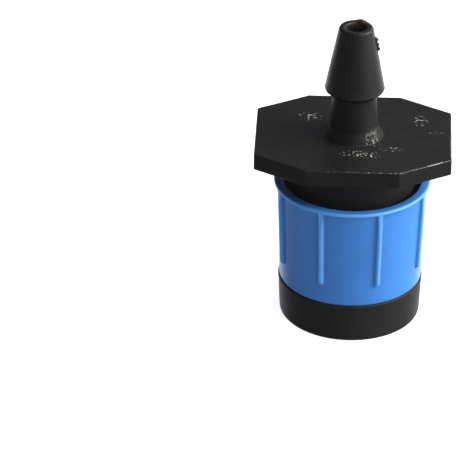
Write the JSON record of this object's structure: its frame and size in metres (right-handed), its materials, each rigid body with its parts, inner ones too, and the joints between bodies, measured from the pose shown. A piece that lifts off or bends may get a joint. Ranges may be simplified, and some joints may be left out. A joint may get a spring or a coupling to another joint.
{
  "type": "drip emitter",
  "caption": "Adjustable drip emitter: barbed inlet with an octagonal flange over a ribbed screw sleeve that sets the flow from a ring-shaped outlet.",
  "frame": {"origin": "centre of the end cup's resting face, on the barb's axis, with the screw sleeve at its stored setting", "axes": "+Z along the barb towards its tip; X across the 18.3 mm way of the flange, parallel to the front and back flats"},
  "size_m": [0.0184, 0.0152, 0.0298],
  "materials": {
    "black_body": "satin moulded polypropylene, black",
    "black_cup": "satin moulded polypropylene, black",
    "blue_sleeve": "semi-gloss moulded polypropylene, blue",
    "strainer_plastic": "natural acetal, translucent grey-white",
    "core_plastic": "natural acetal, cream",
    "plate_plastic": "natural acetal, cream",
    "silicone": "silicone rubber, terracotta",
    "washer_rubber": "silicone rubber, grey"
  },
  "bodies": {
    "inlet": {"inlet_body": "black_body", "inlet_strainer": "strainer_plastic", "labyrinth_core": "core_plastic", "diaphragm": "silicone", "orifice_plate": "plate_plastic"},
    "washer": {"valve_washer": "washer_rubber"},
    "turning_cap": {"end_cup": "black_cup", "grip_sleeve": "blue_sleeve"}
  },
  "joints": [
    {"name": "cap_travel", "type": "slide", "parent": "inlet", "child": "washer", "axis": [0, 0, 1], "range_m": [-0.001, 0.0025]},
    {"name": "cap_turn", "type": "hinge", "parent": "washer", "child": "turning_cap", "pos_m": [0, 0, 0], "axis": [0, 0, 1], "range_deg": [-181, 451]}
  ],
  "couplings": [
    {"joint": "cap_turn", "follows": "cap_travel", "rad_per_m": 3141.6}
  ]
}
